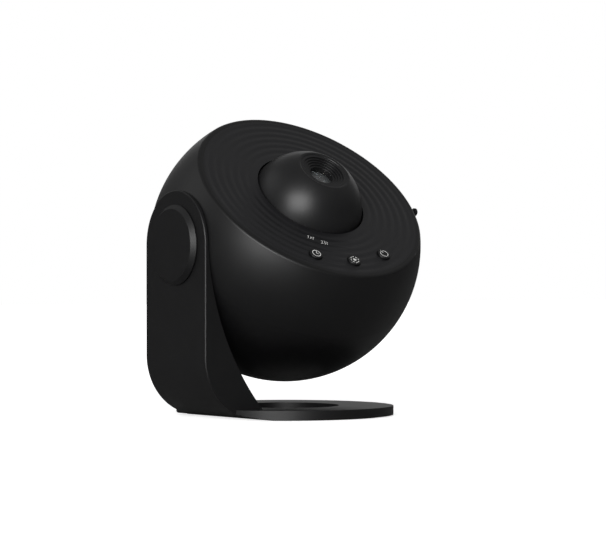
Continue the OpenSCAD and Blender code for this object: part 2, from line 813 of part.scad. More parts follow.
// Components soldered to the main board
module board_parts() {
    low = board_z;
    color("#26272a") in_head() {
        translate([-9, -6, low - 1.4]) cube([11, 11, 1.4]);
        translate([10, -10, low - 3.2]) cube([8, 8, 3.2]);
        translate([12, 6, low - 1.6]) cube([7, 5, 1.6]);
        translate([-23, 4, low - 7]) cylinder(r = 4, h = 7);
        translate([-23, -6, low - 7]) cylinder(r = 4, h = 7);
        translate([-6, 14, low - 5.5]) cube([16, 5, 5.5]);
    }
}

// Curved circuit board under the buttons
module button_board() {
    color("#1d4a35") in_head() difference() {
        translate([0, 0, key_board_z]) rotate([0, 0, -90])
            sector(button_ring_r - 6.4, button_ring_r + 5.8, button_step + 8.5, board_t);
        for (side = [-0.5, 0.5]) at(button_ring_r, -90 + side * button_step)
            translate([0, 0, key_board_z - 1]) cylinder(r = 1.2, h = 5);
    }
}

// Three push switches on the button board
module button_switches() {
    color("#3a3b3e") in_head() for (k = [-1, 0, 1]) at(button_ring_r, -90 + k * button_step)
        translate([0, 0, key_board_z + board_t]) {
            translate([-3, -3, 0]) cube([6, 6, 1.8]);
            cylinder(r = 1.7, h = 2.4);
        }
}

// Small screws of both circuit boards
module board_screws() {
    color("#c3c5c8") in_head() {
        for (x = [-1, 1]) for (y = [-1, 1])
            translate([x * board_x, y * board_y, board_z])
            screw_up(0.95, 1.9, 1.2, board_t + 3.4);
        for (side = [-0.5, 0.5]) at(button_ring_r, -90 + side * button_step)
            translate([0, 0, key_board_z]) screw_up(0.95, 1.9, 1.2, board_t + 3.4);
    }
}

// Barrel of the power socket, open to the back of the ball
module power_socket() {
    color("#18181a") in_head() on_socket() rotate_extrude()
        polygon([[socket_bore_r, socket_z - 9], [socket_r, socket_z - 9], [socket_r, socket_z],
            [socket_r + 1.1, socket_z], [socket_r + 1.1, socket_z + 0.8],
            [socket_bore_r, socket_z + 0.8]]);
}

// Block of contacts that closes the socket's inner end
module socket_block() {
    color("#18181a") in_head() on_socket()
        translate([-socket_r, 0.5 - socket_r, socket_z - 15 - skin])
        cube([2 * socket_r, 2 * socket_r - 1, 6]);
}

// Centre contact of the socket
module socket_pin() {
    color("#b9a77a") in_head() on_socket() translate([0, 0, socket_z - 9 - skin])
        cylinder(r = socket_pin_r, h = 8.4);
}

// Six-sided nut that clamps the socket in the shell
module socket_nut() {
    color("#a9adb2") in_head() on_socket() translate([0, 0, socket_z - 6]) difference() {
        cylinder(r = 8, h = 2.3, $fn = 6);
        translate([0, 0, -1]) cylinder(r = socket_r + 0.1, h = 10);
    }
}

// One button: rounded cap, collar below the face plate and short stem
module button(k) {
    top = face_h + button_out;
    color("#242425") in_head() at(button_ring_r, -90 + k * button_step) {
        rotate_extrude() union() {
            translate([0, key_end]) square([1.5, top - key_end - 1]);
            translate([0, key_top - 1.2]) square([button_r + 1.1, 1.2]);
            translate([0, key_top - 1]) square([button_r, top - button_round - key_top + 1]);
            translate([0, top - button_round - 0.1])
                square([button_r - button_round, button_round + 0.1]);
            intersection() {
                translate([button_r - button_round, top - button_round])
                    circle(r = button_round);
                translate([button_r - button_round, top - button_round])
                    square(button_round);
            }
        }
    }
}

// Timer button, left
module button_timer() { button(-1); }

// Light button, middle
module button_light() { button(0); }

// Power button, right
module button_power() { button(1); }

// Focus ring round the well: three ramp slots and the lever
module focus_ring() {
    color("#2a2a2c") in_head() difference() {
        union() {
            tube(ring_out, ring_in, well_z + 0.15, ring_top - well_z - 0.15);
            rotate([0, 0, lever_angle])
                translate([ring_in + 0.5, -lever_w / 2, lever_z - lever_t / 2])
                cube([knob_foot_r + 1.2 - ring_in - 0.5, lever_w, lever_t]);
        }
        for (a = guide_angles) rotate([0, 0, a]) translate([0, 0, guide_z]) rotate([ramp, 0, 0])
            translate([ring_in - 3, -(ring_out * sin(focus_turn) + guide_r + 0.5),
                -guide_r - guide_fit])
            cube([focus_wall + 6, 2 * (ring_out * sin(focus_turn) + guide_r + 0.5),
                2 * (guide_r + guide_fit)]);
    }
}

// Rounded knob pressed on the lever's end outside the ball
module focus_knob() {
    cap_sphere = knob_r * 1.4;
    color("#161617") in_head() rotate([0, 0, lever_angle]) difference() {
        translate([knob_foot_r, 0, lever_z]) rotate([0, 90, 0]) intersection() {
            cylinder(r = knob_r, h = knob_end_r - knob_foot_r);
            translate([0, 0, knob_end_r - knob_foot_r - cap_sphere]) sphere(r = cap_sphere);
        }
        translate([knob_foot_r - 1, -lever_w / 2 - 0.05, lever_z - lever_t / 2 - 0.05])
            cube([2.25, lever_w + 0.1, lever_t + 0.1]);
    }
}

// Sliding ring with three guide pins; the dome unit stands on it
module lens_carriage() {
    color("#242425") in_head() difference() {
        union() {
            tube(well_r - 0.1, star_r + 0.7, carriage_top - carriage_h, carriage_h);
            for (a = guide_angles) rotate([0, 0, a])
                translate([star_r + 1.7, 0, guide_z]) rotate([0, 90, 0])
                cylinder(r = guide_r, h = ring_out - star_r - 2);
        }
        for (a = [0 : 60 : 300]) at((well_r + star_r + 0.6) / 2, a)
            translate([0, 0, carriage_top - 1.6]) cylinder(r = 1.05, h = 5);
    }
}

// Six small magnets in the top of the lens carriage
module seat_magnets() {
    color("#b7bac0") in_head() for (a = [0 : 60 : 300])
        at((well_r + star_r + 0.6) / 2, a)
        translate([0, 0, carriage_top - 1.6]) cylinder(r = 1, h = 1.6);
}

// Lens dome with its stepped funnel, straight skirt and barrel boss
module dome() {
    color("#262627") in_head() difference() {
        intersection() {
            union() {
                difference() {
                    translate([0, 0, dome_z]) sphere(r = dome_r, $fn = 160);
                    translate([0, 0, dome_z]) sphere(r = dome_r - dome_wall, $fn = 160);
                }
                tube(dome_r, skirt_r - dome_wall, seat_z, dome_z - seat_z + 9);
                translate([0, 0, dome_z]) intersection() {
                    sphere(r = dome_r - 0.5, $fn = 160);
                    translate([0, 0, eye_z - dome_z - 1.7])
                        cylinder(r1 = boss_r - 1, r2 = funnel_r + 8, h = 8);
                }
                tube(boss_r, barrel_r + 0.05, eye_z - 9, 9);
            }
            translate([0, 0, seat_z]) cylinder(r = skirt_r, h = far);
            translate([0, 0, dome_z]) sphere(r = dome_r, $fn = 160);
        }
        for (k = [0 : funnel_n - 1])
            translate([0, 0, funnel_z - (k + 1) * funnel_rise])
            cylinder(r = funnel_r - k * funnel_step, h = 20);
        lip_waste();
        translate([0, 0, seat_z]) cylinder(r = eye_r, h = far);
        translate([0, 0, seat_z - 1]) cylinder(r = barrel_r + 0.05, h = barrel_top - seat_z + 1);
        tube(skirt_r - 0.3, skirt_r - 1.7, seat_z - 1, 2);
    }
}

// What the funnel's rounded lip loses
module lip_waste() {
    translate([0, 0, dome_z]) rotate_extrude() difference() {
        polygon([[funnel_r - 1, lip_rise], [lip_cr, lip_rise], [lip_cr * lip_k, lip_rise * lip_k],
            [funnel_r - 1, lip_rise * lip_k]]);
        translate([lip_cr, lip_rise]) circle(r = lip_round);
    }
}

// Annular floor that closes the dome round the lens barrel
module dome_floor() {
    color("#1e1e1f") in_head()
        tube(skirt_r - dome_wall - 0.1, barrel_r + 0.1, seat_z + 0.4, 1.5);
}

// Steel ring in the foot of the skirt that the magnets hold
module keeper_ring() {
    color("#9a9ea3") in_head() tube(skirt_r - 0.35, skirt_r - 1.65, seat_z + 0.1, 0.9);
}

// Lens barrel with its front lip
module lens_barrel() {
    lip_z = barrel_top - 1;
    color("#19191a") in_head() rotate_extrude()
        polygon([[lens_r + 0.2, barrel_bottom], [barrel_r, barrel_bottom],
            [barrel_r, barrel_top], [eye_r, barrel_top], [eye_r, lip_z],
            [lens_r + 0.2, lip_z - 1.5]]);
}

// Front projection lens, seen through the hole of the dome
module lens_front() {
    color("#cfd9de") in_head() translate([0, 0, barrel_top - 4.7]) lens(lens_r, 2, 1.8);
}

// Tube that keeps the two projection lenses apart
module lens_spacer() {
    color("#19191a") in_head()
        tube(lens_r + 0.1, lens_r - 1.1, barrel_bottom + 9, barrel_top - 4.7 - barrel_bottom - 9);
}

// Rear projection lens, its domed side towards the star disc
module lens_rear() {
    color("#cfd9de") in_head() translate([0, 0, barrel_bottom + 9]) mirror([0, 0, 1])
        lens(lens_r, 2.4, 2.2);
}

// Threaded ring that locks the lenses in the barrel
module lens_lock_ring() {
    color("#19191a") in_head() tube(lens_r + 0.1, lens_r - 1.1, barrel_bottom + 1.5, 4.4);
}

// Turntable: ring gear with a raised rim round the star disc
module disc_turntable() {
    color("#d9d6cc") in_head() difference() {
        union() {
            translate([0, 0, table_z]) rotate([0, 0, motor_angle])
                linear_extrude(height = gear_h) gear_outline(ring_teeth, 0.8, 1.1, 0.46);
            translate([0, 0, table_z]) cylinder(r = table_r + 2.2, h = gear_h + star_t + 0.5);
        }
        translate([0, 0, table_z - 1]) cylinder(r = table_bore_r, h = 20);
        translate([0, 0, star_z]) cylinder(r = table_r, h = 10);
    }
}

// Star disc: thin film disc that carries the night sky
module star_disc() {
    color("#14151c") in_head() translate([0, 0, star_z]) cylinder(r = star_r, h = star_t);
}

// Motor pinion with its shaft
module motor_pinion() {
    color("#d9d6cc") in_head() at(motor_ring_r, motor_angle) {
        translate([0, 0, table_z]) rotate([0, 0, 180 + 180 / pinion_teeth])
            linear_extrude(height = gear_h - 0.4) gear_outline(pinion_teeth, 0.85, 1.1, 0.44);
        translate([0, 0, table_z - 4]) cylinder(r = 3.4, h = 4.5);
        translate([0, 0, -chassis_t - 11]) cylinder(r = 1.25, h = table_z + chassis_t + 8);
    }
}

stand();
foot_pad();
friction_washer();
spring_washer();
shell_rear();
shell_front();
side_plate();
keeper_plate();
hub_screws();
pivot_cap();
face_plate();
focus_retainer();
chassis();
side_screws();
shell_screws();
post_screws();
heat_sink();
led_board();
led_lamp();
condenser_holder();
condenser_lens_small();
condenser_lens_large();
motor();
motor_screws();
main_board();
board_parts();
button_board();
button_switches();
board_screws();
power_socket();
socket_block();
socket_pin();
socket_nut();
button_timer();
button_light();
button_power();
focus_ring();
focus_knob();
lens_carriage();
seat_magnets();
dome();
dome_floor();
keeper_ring();
lens_barrel();
lens_front();
lens_spacer();
lens_rear();
lens_lock_ring();
disc_turntable();
star_disc();
motor_pinion();
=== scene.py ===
import json
import math

import bmesh
import bpy
from mathutils import Matrix, Vector


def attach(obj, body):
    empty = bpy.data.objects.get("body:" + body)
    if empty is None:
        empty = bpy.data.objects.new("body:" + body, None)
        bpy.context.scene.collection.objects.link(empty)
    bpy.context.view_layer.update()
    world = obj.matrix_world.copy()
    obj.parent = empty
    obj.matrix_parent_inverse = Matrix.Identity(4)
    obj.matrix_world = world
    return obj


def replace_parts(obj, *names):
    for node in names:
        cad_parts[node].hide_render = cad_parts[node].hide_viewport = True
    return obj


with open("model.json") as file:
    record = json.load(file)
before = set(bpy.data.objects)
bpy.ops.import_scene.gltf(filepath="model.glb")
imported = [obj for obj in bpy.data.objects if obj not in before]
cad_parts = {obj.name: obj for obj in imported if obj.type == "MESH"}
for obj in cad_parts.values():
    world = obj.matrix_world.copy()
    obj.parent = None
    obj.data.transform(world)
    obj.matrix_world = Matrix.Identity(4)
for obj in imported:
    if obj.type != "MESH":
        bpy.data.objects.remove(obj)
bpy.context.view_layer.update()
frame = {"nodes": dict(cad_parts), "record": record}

# Looks of the planetarium projector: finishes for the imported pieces, the printed signs, the
# dome's moulding, the studio and the camera. Sizes of the object are in millimetres, and
# times MM in its meshes. The studio is in metres.

nodes = frame["nodes"]
MM = 0.001

# The head is drawn upright and tilted about the pivot, as in the part's own source
PIVOT_Z = 93.6
TILT = 42.2
FACE_H = 36.5
RIPPLE_START = 33.97
RIPPLE_PITCH = 4.66
RIPPLE_N = 6
RIPPLE_DEPTH = 0.2
BUTTON_RING_R = 53.219
BUTTON_STEP = 25.0
BUTTON_OUT = 1.2
HEAD = Matrix.Translation((0, 0, PIVOT_Z * MM)) @ Matrix.Rotation(math.radians(TILT), 4, "X")


# Finishes

def linear(colour):
    """An sRGB hex colour as linear RGBA."""
    parts = [int(colour[i:i + 2], 16) / 255 for i in (1, 3, 5)]
    return [c / 12.92 if c <= 0.04045 else ((c + 0.055) / 1.055) ** 2.4 for c in parts] + [1.0]


def add(tree, kind, settings=None, links=None):
    """One shader node, with its settings and what feeds its inputs."""
    made = tree.nodes.new(kind)
    for key, value in (settings or {}).items():
        sockets = {s.identifier: s for s in made.inputs}
        if key in sockets:
            sockets[key].default_value = value
        else:
            setattr(made, key, value)
    sockets = {s.identifier: s for s in made.inputs}
    for key, source in (links or {}).items():
        tree.links.new(source, sockets[key])
    return made


def finish_of(name):
    """An empty material: its node tree, its surface shader and its place on the piece."""
    made = bpy.data.materials.new(name)
    made.use_nodes = True
    tree = made.node_tree
    tree.nodes.clear()
    surface = add(tree, "ShaderNodeBsdfPrincipled")
    add(tree, "ShaderNodeOutputMaterial", links={"Surface": surface.outputs["BSDF"]})
    place = add(tree, "ShaderNodeTexCoord").outputs["Object"]
    return made, tree, surface, place


def moulded(name, dark, light, roughness, grain, depth, ior=1.5, spread=0.04):
    """A moulded or painted surface: even colour with a faint mottle, and a fine grain of its
    own pitch and depth in millimetres that breaks up the highlight."""
    made, tree, surface, place = finish_of(name)
    mottle = add(tree, "ShaderNodeTexNoise", {"Scale": 1 / (14 * MM), "Detail": 3.0},
                 {"Vector": place})
    tone = add(tree, "ShaderNodeMix",
               {"data_type": "RGBA", "A_Color": linear(dark), "B_Color": linear(light)},
               {"Factor_Float": mottle.outputs["Fac"]})
    tree.links.new(tone.outputs[2], surface.inputs["Base Color"])
    gloss = add(tree, "ShaderNodeMapRange",
                {"To Min": roughness - spread, "To Max": roughness + spread},
                {"Value": mottle.outputs["Fac"]})
    tree.links.new(gloss.outputs["Result"], surface.inputs["Roughness"])
    pits = add(tree, "ShaderNodeTexNoise", {"Scale": 1 / (grain * MM), "Detail": 2.0},
               {"Vector": place})
    bump = add(tree, "ShaderNodeBump", {"Strength": 1.0, "Distance": depth * MM},
               {"Height": pits.outputs["Fac"]})
    tree.links.new(bump.outputs["Normal"], surface.inputs["Normal"])
    surface.inputs["IOR"].default_value = ior
    return made


def bare_metal(name, dark, light, roughness, line, depth, stretch):
    """A bare metal with fine working marks that run along one axis of the piece."""
    made, tree, surface, place = finish_of(name)
    along = add(tree, "ShaderNodeMapping", {"Scale": stretch}, {"Vector": place})
    marks = add(tree, "ShaderNodeTexNoise", {"Scale": 1 / (line * MM), "Detail": 4.0},
                {"Vector": along.outputs["Vector"]})
    tone = add(tree, "ShaderNodeMix",
               {"data_type": "RGBA", "A_Color": linear(dark), "B_Color": linear(light)},
               {"Factor_Float": marks.outputs["Fac"]})
    tree.links.new(tone.outputs[2], surface.inputs["Base Color"])
    gloss = add(tree, "ShaderNodeMapRange",
                {"To Min": roughness - 0.06, "To Max": roughness + 0.08},
                {"Value": marks.outputs["Fac"]})
    tree.links.new(gloss.outputs["Result"], surface.inputs["Roughness"])
    bump = add(tree, "ShaderNodeBump", {"Strength": 1.0, "Distance": depth * MM},
               {"Height": marks.outputs["Fac"]})
    tree.links.new(bump.outputs["Normal"], surface.inputs["Normal"])
    surface.inputs["Metallic"].default_value = 1.0
    return made


def coated_glass(name, tint):
    """Polished lens glass with a thin anti-glare coat that turns its reflection violet. A tenth
    of it scatters, which is the dust and the coat's bloom that make a deep lens look grey."""
    made, tree, surface, place = finish_of(name)
    haze = add(tree, "ShaderNodeTexNoise", {"Scale": 1 / (5 * MM), "Detail": 2.0},
               {"Vector": place})
    gloss = add(tree, "ShaderNodeMapRange", {"To Min": 0.02, "To Max": 0.07},
                {"Value": haze.outputs["Fac"]})
    tree.links.new(gloss.outputs["Result"], surface.inputs["Roughness"])
    bloom = add(tree, "ShaderNodeMapRange", {"To Min": 0.93, "To Max": 0.87},
                {"Value": haze.outputs["Fac"]})
    tree.links.new(bloom.outputs["Result"], surface.inputs["Transmission Weight"])
    surface.inputs["Base Color"].default_value = linear(tint)
    surface.inputs["IOR"].default_value = 1.52
    surface.inputs["Thin Film Thickness"].default_value = 110.0
    surface.inputs["Thin Film IOR"].default_value = 1.38
    return made


def star_film(name):
    """Photographic film: near black, with clear pinholes of 0.15 to 0.4 mm for the stars, drawn
    coarser than the real ones so that they show."""
    made, tree, surface, place = finish_of(name)
    cells = add(tree, "ShaderNodeTexVoronoi", {"Scale": 1 / (1.9 * MM)}, {"Vector": place})
    holes = add(tree, "ShaderNodeMapRange", {"From Min": 0.09, "From Max": 0.05},
                {"Value": cells.outputs["Distance"]})
    tone = add(tree, "ShaderNodeMix",
               {"data_type": "RGBA", "A_Color": linear("#0b0c12"), "B_Color": linear("#cfd6e6")},
               {"Factor_Float": holes.outputs["Result"]})
    tree.links.new(tone.outputs[2], surface.inputs["Base Color"])
    surface.inputs["Roughness"].default_value = 0.18
    surface.inputs["IOR"].default_value = 1.48
    return made


def solder_mask(name, mask, track):
    """Epoxy glass board under a lacquer, with the copper tracks, 0.6 mm wide, showing through."""
    made, tree, surface, place = finish_of(name)
    lanes = add(tree, "ShaderNodeTexBrick",
                {"Scale": 1.0, "Color1": linear(mask), "Color2": linear(mask),
                 "Mortar": linear(track), "Brick Width": 7 * MM,
                 "Row Height": 2.4 * MM, "Mortar Size": 0.3 * MM},
                {"Vector": place})
    tree.links.new(lanes.outputs["Color"], surface.inputs["Base Color"])
    bump = add(tree, "ShaderNodeBump", {"Strength": 1.0, "Distance": 0.03 * MM},
               {"Height": lanes.outputs["Fac"]})
    tree.links.new(bump.outputs["Normal"], surface.inputs["Normal"])
    surface.inputs["Roughness"].default_value = 0.3
    surface.inputs["IOR"].default_value = 1.55
    return made


FINISHES = {
    # Die-cast aluminium under satin black paint: a faint orange peel, edges catch the light
    "stand_paint": moulded("satin_paint_on_die_casting", "#0c0c0d", "#0f0f10", 0.44, 1.1, 0.005),
    # ABS from a spark-eroded mould: even, satin, a grain of 0.3 mm drawn at 0.6 mm to show
    # Its colour is darker than black ABS really is, and darker than the face plate's: painted
    # shade that keeps the ball's underside dark
    "housing_black": moulded("ABS_fine_grain_painted_shade", "#09090a", "#0c0c0d", 0.42, 0.6, 0.006),
    # The face plate comes from a smoother insert, so its ripples glint
    "face_black": moulded("ABS_rippled_insert", "#161618", "#1a1a1c", 0.42, 0.6, 0.005),
    # The cap on the arm has the housing's grain, a shade duller
    "cap_black": moulded("ABS_cap", "#0b0b0c", "#0e0e0f", 0.44, 0.6, 0.005),
    # The buttons are a finer moulding, worn smooth by fingers
    "button_black": moulded("ABS_button", "#0e0e0f", "#121213", 0.42, 0.5, 0.004),
    # The dome is moulded in a polished tool: half gloss, with a soft round highlight
    "dome_black": moulded("ABS_half_gloss_dome", "#141415", "#171718", 0.39, 1.4, 0.003,
                          spread=0.02),
    # Inner parts are plain and dull
    "inner_black": moulded("ABS_plain_inside", "#0e0e0f", "#121213", 0.55, 0.5, 0.010),
    # The socket's pin: pale brass under thin nickel, turned
    "contact_metal": bare_metal("nickel_plated_brass", "#b3a67c", "#cbbf95", 0.25, 0.4, 0.003,
                                (1, 1, 1)),
    # Polyester and epoxy bodies of the socket and the components: hard, slightly rough
    "socket_black": moulded("PBT_socket_body", "#101011", "#141415", 0.42, 0.5, 0.008),
    "parts_black": moulded("epoxy_component_body", "#17181a", "#1e1f22", 0.5, 0.4, 0.010),
    # Silicone rubber and a soft lacquer: dull, slightly dusty
    "foot_rubber": moulded("silicone_foot", "#0f0f0f", "#171716", 0.78, 0.7, 0.020, ior=1.43),
    "knob_rubber": moulded("soft_touch_knob", "#111112", "#151516", 0.6, 0.5, 0.010),
    # Natural acetal and nylon: milky, slightly waxy
    "gear_white": moulded("acetal_natural", "#d9d6cb", "#e4e1d6", 0.42, 0.8, 0.006, ior=1.48),
    "washer_plastic": moulded("nylon_natural", "#b7b09a", "#c6c0ad", 0.5, 0.7, 0.008, ior=1.53),
    # The lamp's phosphor in clear silicone: a wet yellow
    "lamp_body": moulded("phosphor_silicone", "#e2c25a", "#f0d67a", 0.35, 0.3, 0.010, ior=1.41),
    # Metals: turned, rolled, drawn, extruded or plated, with fine marks along their working
    "screw_steel": bare_metal("zinc_plated_steel", "#a9adb3", "#c6cacf", 0.34, 0.5, 0.004,
                              (1, 1, 1)),
    "spring_steel": bare_metal("rolled_spring_steel", "#8b9096", "#a6abb1", 0.32, 0.4, 0.004,
                               (1, 6, 1)),
    "motor_steel": bare_metal("drawn_steel_can", "#7f848a", "#999ea4", 0.3, 0.4, 0.004,
                              (1, 1, 6)),
    "sink_aluminium": bare_metal("extruded_aluminium", "#aab0b6", "#c3c8cd", 0.4, 0.5, 0.006,
                                 (6, 1, 1)),
    "magnet_nickel": bare_metal("nickel_plated_magnet", "#b4b6b4", "#cfd0cc", 0.2, 0.5, 0.002,
                                (1, 1, 1)),
    # Glass, film and boards, as their functions say
    "lens_glass": coated_glass("coated_lens_glass", "#eef3f5"),
    "film_dark": star_film("photographic_film"),
    "board_green": solder_mask("epoxy_glass_green_mask", "#123c2b", "#1c5a3f"),
    "lamp_board": solder_mask("aluminium_board_white_mask", "#dcdcd4", "#c9c9c0"),
}
# Pad-printed ink: dense matt white with slightly uneven cover
INK = moulded("pad_printed_white_ink", "#dededb", "#efefec", 0.55, 0.3, 0.004)
INK_TOP, INK_FOOT = 0.022, -0.004

for row in frame["record"]["subparts"]:
    piece = nodes[row["node"]]
    piece.data.materials.clear()
    piece.data.materials.append(FINISHES[row["material_slot"]])


def on_body(name, mesh, body):
    """A piece made of the mesh, which rides on the body."""
    made = bpy.data.objects.new(name, mesh)
    bpy.context.scene.collection.objects.link(made)
    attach(made, body)
    return made


# Printed signs

def ripple(x, y):
    """Height of the face plate over the ball's centre at a place on it."""
    turn = (math.hypot(x, y) - RIPPLE_START) / RIPPLE_PITCH
    if turn < 0 or turn > RIPPLE_N:
        return FACE_H
    return FACE_H - RIPPLE_DEPTH * (1 - math.cos(2 * math.pi * turn)) / 2


def stroke(points, width, step=0.35):
    """A printed line through the points, as quads short enough to follow the ripples. Its ends
    reach 0.3 of the width past the points, so that corners close."""
    quads = []
    for (x0, y0), (x1, y1) in zip(points, points[1:]):
        length = math.hypot(x1 - x0, y1 - y0)
        ux, uy = (x1 - x0) / length, (y1 - y0) / length
        px, py = -uy * width / 2, ux * width / 2
        x0, y0 = x0 - ux * width * 0.3, y0 - uy * width * 0.3
        length += width * 0.6
        count = max(1, round(length / step))
        for i in range(count):
            a, b = length * i / count, length * (i + 1) / count
            ax, ay, bx, by = x0 + ux * a, y0 + uy * a, x0 + ux * b, y0 + uy * b
            quads.append([(ax + px, ay + py), (ax - px, ay - py),
                          (bx - px, by - py), (bx + px, by + py)])
    return quads


def arc(radius, width, start, end, count=48, cx=0.0, cy=0.0):
    """A printed part of a ring, from one angle to another in degrees."""
    quads = []
    steps = max(3, round(count * abs(end - start) / 360))
    for i in range(steps):
        a = math.radians(start + (end - start) * i / steps)
        b = math.radians(start + (end - start) * (i + 1) / steps)
        inner, outer = radius - width / 2, radius + width / 2
        quads.append([(cx + inner * math.cos(a), cy + inner * math.sin(a)),
                      (cx + outer * math.cos(a), cy + outer * math.sin(a)),
                      (cx + outer * math.cos(b), cy + outer * math.sin(b)),
                      (cx + inner * math.cos(b), cy + inner * math.sin(b))])
    return quads


def dot(cx, cy, radius, count=20):
    """A printed round spot."""
    return [[(cx + radius * math.cos(2 * math.pi * i / count),
              cy + radius * math.sin(2 * math.pi * i / count)) for i in range(count)]]


def printed(name, shapes, x, y, turn, body, height=None):
    """Ink on the head: shapes around a place on the face, turned to read from the rim. It lies
    on the ripples, or at a height of its own."""
    mesh = bpy.data.meshes.new(name)
    bm = bmesh.new()
    c, s = math.cos(math.radians(turn)), math.sin(math.radians(turn))
    for outline in shapes:
        area = sum(p[0] * q[1] - q[0] * p[1] for p, q in zip(outline, outline[1:] + outline[:1]))
        if area < 0:
            outline = outline[::-1]
        rows = []
        for lift in (INK_TOP, INK_FOOT):
            row = []
            for px, py in outline:
                fx, fy = x + c * px - s * py, y + s * px + c * py
                h = (height if height is not None else ripple(fx, fy)) + lift
                row.append(bm.verts.new(HEAD @ Vector((fx * MM, fy * MM, h * MM))))
            rows.append(row)
        bm.faces.new(rows[0])
        bm.faces.new(rows[1][::-1])
        for i in range(len(outline)):
            j = (i + 1) % len(outline)
            bm.faces.new([rows[0][i], rows[1][i], rows[1][j], rows[0][j]])
    bm.to_mesh(mesh)
    bm.free()
    mesh.materials.append(INK)
    return on_body(name, mesh, body)


def on_button(k):
    """Middle of a button on the face, and the turn that its sign takes."""
    a = math.radians(-90 + k * BUTTON_STEP)
    return BUTTON_RING_R * math.cos(a), BUTTON_RING_R * math.sin(a), k * BUTTON_STEP


# The signs on the buttons: a clock, a lamp with eight rays and an on/off sign
BUTTON_TOP = FACE_H + BUTTON_OUT
clock = arc(2.3, 0.46, 0, 360) + stroke([(0, 1.35), (0, 0), (1.05, 0)], 0.42)
sun = dot(0, 0, 0.95) + [q for a in range(0, 360, 45) for q in arc(2.3, 0.5, a - 13, a + 13)]
on_off = arc(2.25, 0.44, 118, 422) + stroke([(0, 2.6), (0, 0.9)], 0.44)
for name, shapes, k, body in [("timer_sign", clock, -1, "timer_button"),
                              ("light_sign", sun, 0, "light_button"),
                              ("power_sign", on_off, 1, "power_button")]:
    x, y, turn = on_button(k)
    printed(name, shapes, x, y, turn, body, height=BUTTON_TOP)

# Plain hour marks beside the timer button: one hour and two hours
MARK_LINE, MARK_BAR = 0.3, 0.26
MARK_HALF = 1.05
letter_h = (stroke([(0.6, MARK_HALF), (0.6, -MARK_HALF)], MARK_LINE)
            + stroke([(1.95, MARK_HALF), (1.95, -MARK_HALF)], MARK_LINE)
            + stroke([(0.6, 0), (1.95, 0)], MARK_BAR))
one = stroke([(-1.35, 0.65), (-0.9, MARK_HALF), (-0.9, -MARK_HALF)], MARK_LINE)
two = (arc(0.6, MARK_LINE, 150, -30, cx=-1.15, cy=0.45)
       + stroke([(-0.68, 0.2), (-1.7, -0.95), (-0.5, -0.95)], MARK_LINE))
for name, figure, x, y in [("one_hour_mark", one, -18.7, -34.0),
                           ("two_hour_mark", two, -11.7, -38.3)]:
    turn = math.degrees(math.atan2(y, x)) + 90
    printed(name, figure + letter_h, x, y, turn, "head")


# Lens dome

def turned(name, outline, body, slot, steps=160):
    """A closed outline of (radius, height) points, turned about the head's axis. Edges sharper
    than 35 degrees stay edges."""
    turns = [2 * math.pi * i / steps for i in range(steps)]
    rows = [[HEAD @ Vector((r * MM * math.cos(a), r * MM * math.sin(a), z * MM))
             for r, z in outline] for a in turns]
    count = len(outline)
    faces = [(i * count + j, (i + 1) % steps * count + j,
              (i + 1) % steps * count + (j + 1) % count, i * count + (j + 1) % count)
             for i in range(steps) for j in range(count)]
    mesh = bpy.data.meshes.new(name)
    mesh.from_pydata([v for row in rows for v in row], [], faces)
    mesh.polygons.foreach_set("use_smooth", [True] * len(mesh.polygons))
    mesh.set_sharp_from_angle(angle=math.radians(35))
    mesh.materials.append(FINISHES[slot])
    return on_body(name, mesh, body)


def bow(cr, cz, radius, start, end, count):
    """Points of a circle in the outline, from one angle to another in degrees."""
    angles = [math.radians(start + (end - start) * i / count) for i in range(count + 1)]
    return [(cr + radius * math.cos(a), cz + radius * math.sin(a)) for a in angles]


# Radii and heights over the ball's centre, as in the part's own source
DOME_Z, DOME_R, DOME_INNER_R = 27.0, 31.7, 29.7
SEAT_Z, SKIRT_R, SKIRT_INNER_R, SKIRT_TOP = 27.6, 30.7, 28.7, 36.0
LIP_R, LIP_Z, LIP_ROUND = 14.6, 53.44, 1.5
FUNNEL_R, FUNNEL_Z = 13.37, 54.3
TERRACES, TERRACE_RISE = (11.8, 10.5, 9.2, 7.9), 0.7
EYE_R, EYE_Z = 6.6, 51.5
SOFT_EDGE = 0.1
BORE_R, BOSS_R, BOSS_LOW, BOSS_TOP, BOSS_CONE_R = 11.55, 13.5, 42.5, 49.8, 12.5
CONE_END = (15.33, 52.43)
GROOVE_IN, GROOVE_OUT, GROOVE_TOP = 29.0, 30.4, 28.6
# Angles of the arcs in degrees: where the skirt meets the dome, where the dome meets the lip,
# where the lip meets the funnel, and the two ends of the inner sphere
SKIRT_END, LIP_START, LIP_END = 14.42, 61.1, 142
INNER_START, INNER_END = 58.5, 17.65

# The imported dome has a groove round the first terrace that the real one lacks, so this moulding
# stands for it: its lip runs smoothly into the first of five terraces with softened edges
steps_down = [(FUNNEL_R, FUNNEL_Z)]
for k, r in enumerate(TERRACES):
    z = FUNNEL_Z - TERRACE_RISE * k
    steps_down += [(r + SOFT_EDGE, z), (r, z - SOFT_EDGE), (r, z - TERRACE_RISE)]
outline = ([(SKIRT_R, SEAT_Z)] + bow(0, DOME_Z, DOME_R, SKIRT_END, LIP_START, 48)
           + bow(LIP_R, LIP_Z, LIP_ROUND, LIP_START, LIP_END, 14) + steps_down
           + [(EYE_R + SOFT_EDGE, EYE_Z), (EYE_R, EYE_Z - SOFT_EDGE), (EYE_R, BOSS_TOP),
              (BORE_R, BOSS_TOP), (BORE_R, BOSS_LOW), (BOSS_R, BOSS_LOW), (BOSS_R, BOSS_TOP),
              (BOSS_CONE_R, BOSS_TOP), CONE_END]
           + bow(0, DOME_Z, DOME_INNER_R, INNER_START, INNER_END, 32)
           + [(SKIRT_INNER_R, SKIRT_TOP), (SKIRT_INNER_R, SEAT_Z), (GROOVE_IN, SEAT_Z),
              (GROOVE_IN, GROOVE_TOP), (GROOVE_OUT, GROOVE_TOP), (GROOVE_OUT, SEAT_Z)])
